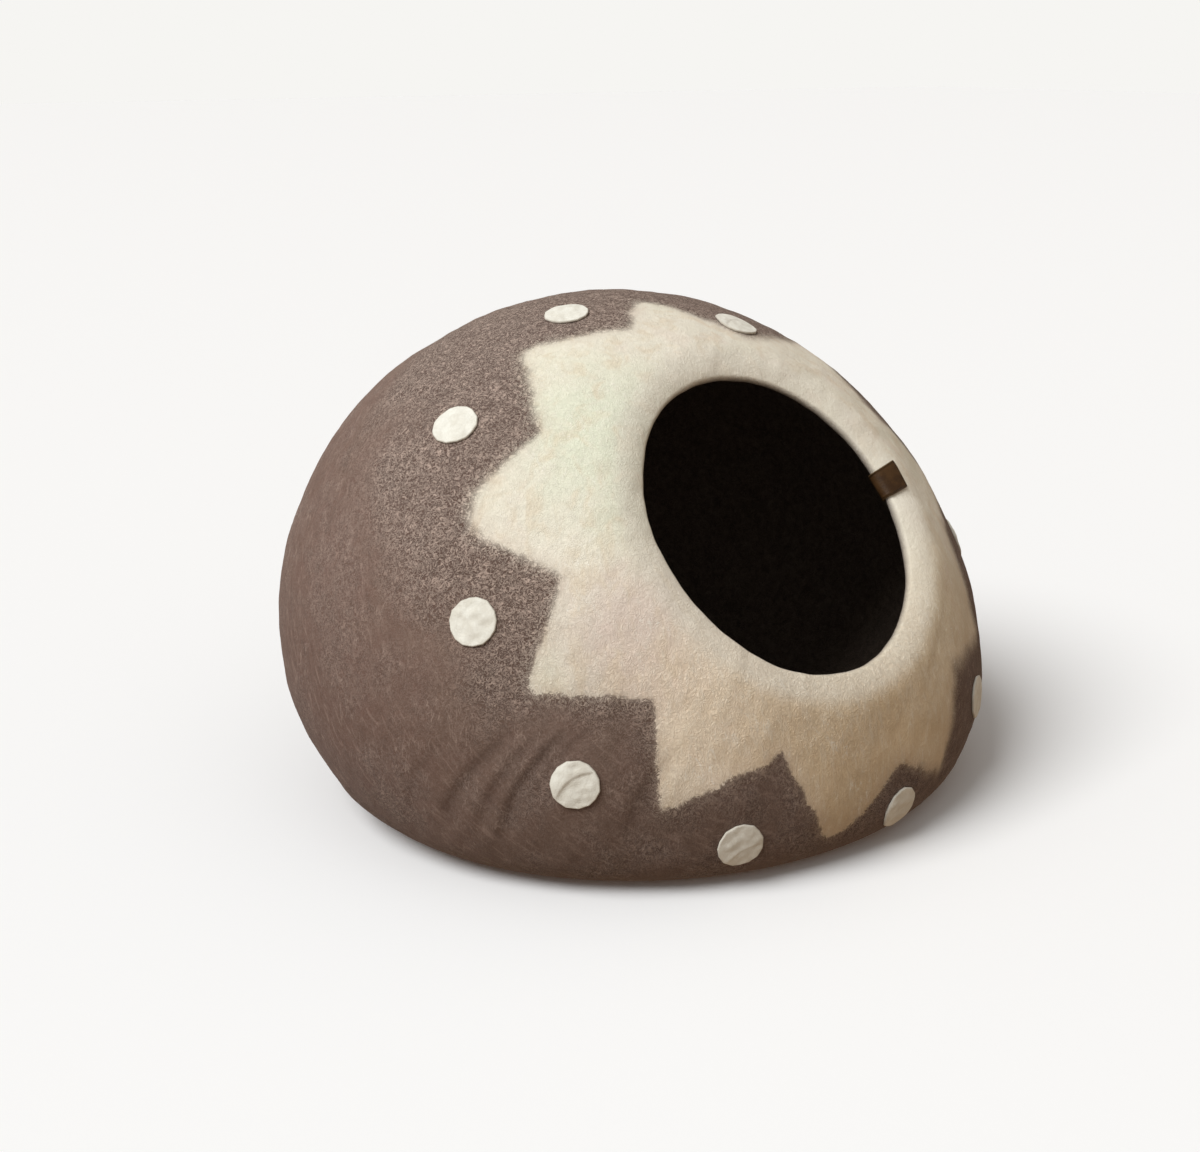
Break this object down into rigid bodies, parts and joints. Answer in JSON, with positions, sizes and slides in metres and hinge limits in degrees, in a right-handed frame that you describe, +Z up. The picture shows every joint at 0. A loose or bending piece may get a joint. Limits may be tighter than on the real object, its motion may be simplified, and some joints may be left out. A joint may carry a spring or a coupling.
{
  "type": "felt cat cave",
  "caption": "Rounded hollow bed of thick wool felt with one round opening that faces forwards and up, a pale star round it, felt dots and a folded leather tag on the rim.",
  "frame": {"origin": "middle of the outline in plan, on the level that the base rests on", "axes": "+X to the right across the opening, -Y out of the front where the opening is, +Z up"},
  "size_m": [0.4798, 0.4388, 0.3096],
  "materials": {
    "brown_wool_felt": "matt, fuzzy wet-felted wool",
    "cream_dot_felt": "matt sheet felt with a cut edge",
    "brown_tag_leather": "satin, slightly worn"
  },
  "bodies": {
    "root": {"shell": "brown_wool_felt", "dot_01": "cream_dot_felt", "dot_02": "cream_dot_felt", "dot_03": "cream_dot_felt", "dot_04": "cream_dot_felt", "dot_05": "cream_dot_felt", "dot_06": "cream_dot_felt", "dot_07": "cream_dot_felt", "dot_08": "cream_dot_felt", "dot_09": "cream_dot_felt", "dot_10": "cream_dot_felt", "rim_tag": "brown_tag_leather"}
  },
  "joints": []
}
